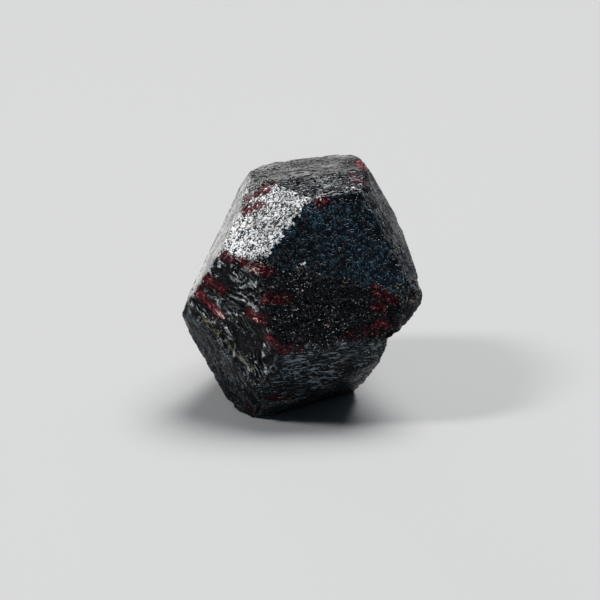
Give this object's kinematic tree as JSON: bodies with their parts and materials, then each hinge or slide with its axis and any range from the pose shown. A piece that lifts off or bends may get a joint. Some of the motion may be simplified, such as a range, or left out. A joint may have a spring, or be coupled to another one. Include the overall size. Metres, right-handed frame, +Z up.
{
  "type": "garnet crystal",
  "caption": "Loose dark red garnet crystal with flat striated faces and a stepped corner, standing on a broken flat seat.",
  "frame": {"origin": "on the flat seat, under the middle of the crystal's box", "axes": "+Z up from the seat, -Y out of the large front face, +X towards the stepped corner"},
  "size_m": [0.032, 0.0326, 0.0332],
  "materials": {
    "garnet": "near-black red crystal, satin to glossy, one face frosted silver, red and rusty patches"
  },
  "bodies": {
    "root": {"garnet_crystal": "garnet"}
  },
  "joints": []
}
